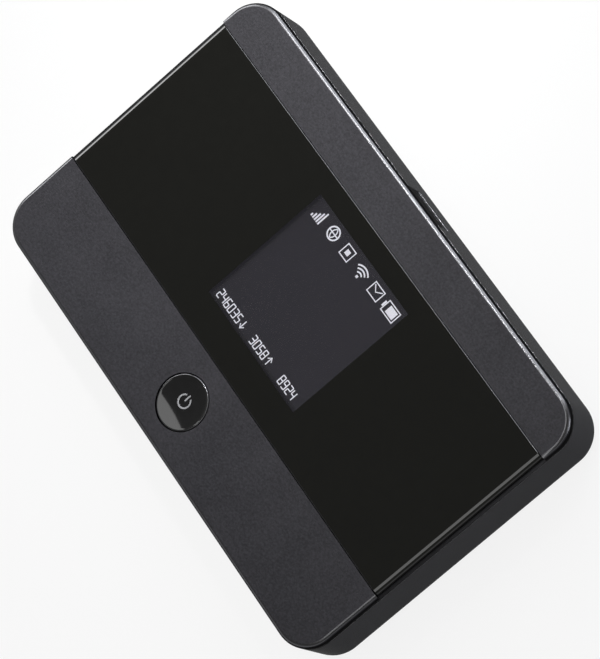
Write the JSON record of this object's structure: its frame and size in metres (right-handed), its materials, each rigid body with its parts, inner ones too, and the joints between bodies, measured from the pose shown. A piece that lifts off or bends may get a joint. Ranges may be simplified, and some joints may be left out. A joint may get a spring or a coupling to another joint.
{
  "type": "mobile hotspot",
  "caption": "Pocket battery-powered mobile hotspot: flat rounded slab with a colour display in a gloss band, a round power button, a ribbed side key and a pull-off rear cover.",
  "frame": {"origin": "centre of the back face", "axes": "+X along the length, left to right as the display is read; +Y across, toward the long edge with the side key; +Z out of the display side"},
  "size_m": [0.106, 0.066, 0.016],
  "materials": {
    "matte_shell": "fine matte moulded grain",
    "gloss_shell": "polished black",
    "lens_black": "polished black, clear over the display",
    "button_black": "polished black",
    "display_glass": "dark display panel, lit",
    "foam": "closed-cell foam",
    "frame_plastic": "moulded, satin",
    "tray_metal": "pressed sheet, satin",
    "flex_film": "polyimide film",
    "connector_plastic": "pale moulded resin",
    "switch_plastic": "black moulded resin",
    "battery_wrap": null,
    "contact_metal": "gold-plated spring",
    "board_mask": "green solder mask",
    "shield_metal": "tinned steel sheet",
    "chip_epoxy": "moulded epoxy",
    "steel": "plated steel",
    "card_plastic": "plain card stock",
    "memory_plastic": "moulded black",
    "antenna_metal": "gold-plated sheet"
  },
  "bodies": {
    "main_body": {"front_cover": "matte_shell", "front_lens": "lens_black", "inner_frame": "frame_plastic", "display_module": "display_glass", "display_gasket": "foam", "display_tray": "tray_metal", "display_flex": "flex_film", "display_connector": "connector_plastic", "power_switch": "switch_plastic", "menu_switch": "switch_plastic", "battery_contact_block": "switch_plastic", "battery_contact_1": "contact_metal", "battery_contact_2": "contact_metal", "battery_contact_3": "contact_metal", "main_board": "board_mask", "shield_processor": "shield_metal", "shield_modem": "shield_metal", "shield_wifi": "shield_metal", "shield_power": "shield_metal", "chip_processor": "chip_epoxy", "chip_modem": "chip_epoxy", "chip_wifi": "chip_epoxy", "chip_power": "chip_epoxy", "usb_shell": "steel", "usb_tongue": "switch_plastic", "sim_holder": "steel", "memory_slot": "steel", "reset_switch": "switch_plastic", "antenna_carrier": "frame_plastic", "main_antenna": "antenna_metal", "diversity_antenna": "antenna_metal", "wifi_antenna_1": "antenna_metal", "wifi_antenna_2": "antenna_metal", "case_screw_1": "steel", "case_screw_2": "steel", "case_screw_3": "steel", "case_screw_4": "steel", "case_screw_5": "steel", "case_screw_6": "steel"},
    "rear_cover": {"rear_cover": "gloss_shell"},
    "battery": {"battery_pack": "battery_wrap"},
    "power_key": {"power_button": "button_black", "power_switch_plunger": "connector_plastic"},
    "menu_key": {"menu_button": "button_black", "menu_switch_plunger": "connector_plastic"},
    "reset_key": {"reset_button": "connector_plastic"},
    "sim": {"sim_card": "card_plastic"},
    "memory": {"memory_card": "memory_plastic"}
  },
  "joints": [
    {"name": "rear_cover_pull", "type": "slide", "parent": "main_body", "child": "rear_cover", "axis": [0, 0, -1], "range_m": [0, 0.04]},
    {"name": "battery_lift", "type": "slide", "parent": "main_body", "child": "battery", "axis": [0, 0, -1], "range_m": [0, 0.02]},
    {"name": "power_button_press", "type": "slide", "parent": "main_body", "child": "power_key", "axis": [0, 0, -1], "range_m": [0, 0.0004], "stiffness_N_per_m": 4000},
    {"name": "menu_button_press", "type": "slide", "parent": "main_body", "child": "menu_key", "axis": [0, -1, 0], "range_m": [0, 0.00035], "stiffness_N_per_m": 4000},
    {"name": "reset_button_press", "type": "slide", "parent": "main_body", "child": "reset_key", "axis": [0, 0, 1], "range_m": [0, 0.00025], "stiffness_N_per_m": 4000},
    {"name": "sim_card_slide", "type": "slide", "parent": "main_body", "child": "sim", "axis": [0, -1, 0], "range_m": [0, 0.016]},
    {"name": "memory_card_slide", "type": "slide", "parent": "main_body", "child": "memory", "axis": [0, -1, 0], "range_m": [0, 0.013]}
  ],
  "couplings": [
    {"joint": "battery_lift", "follows": "rear_cover_pull", "ratio": 0.5}
  ]
}
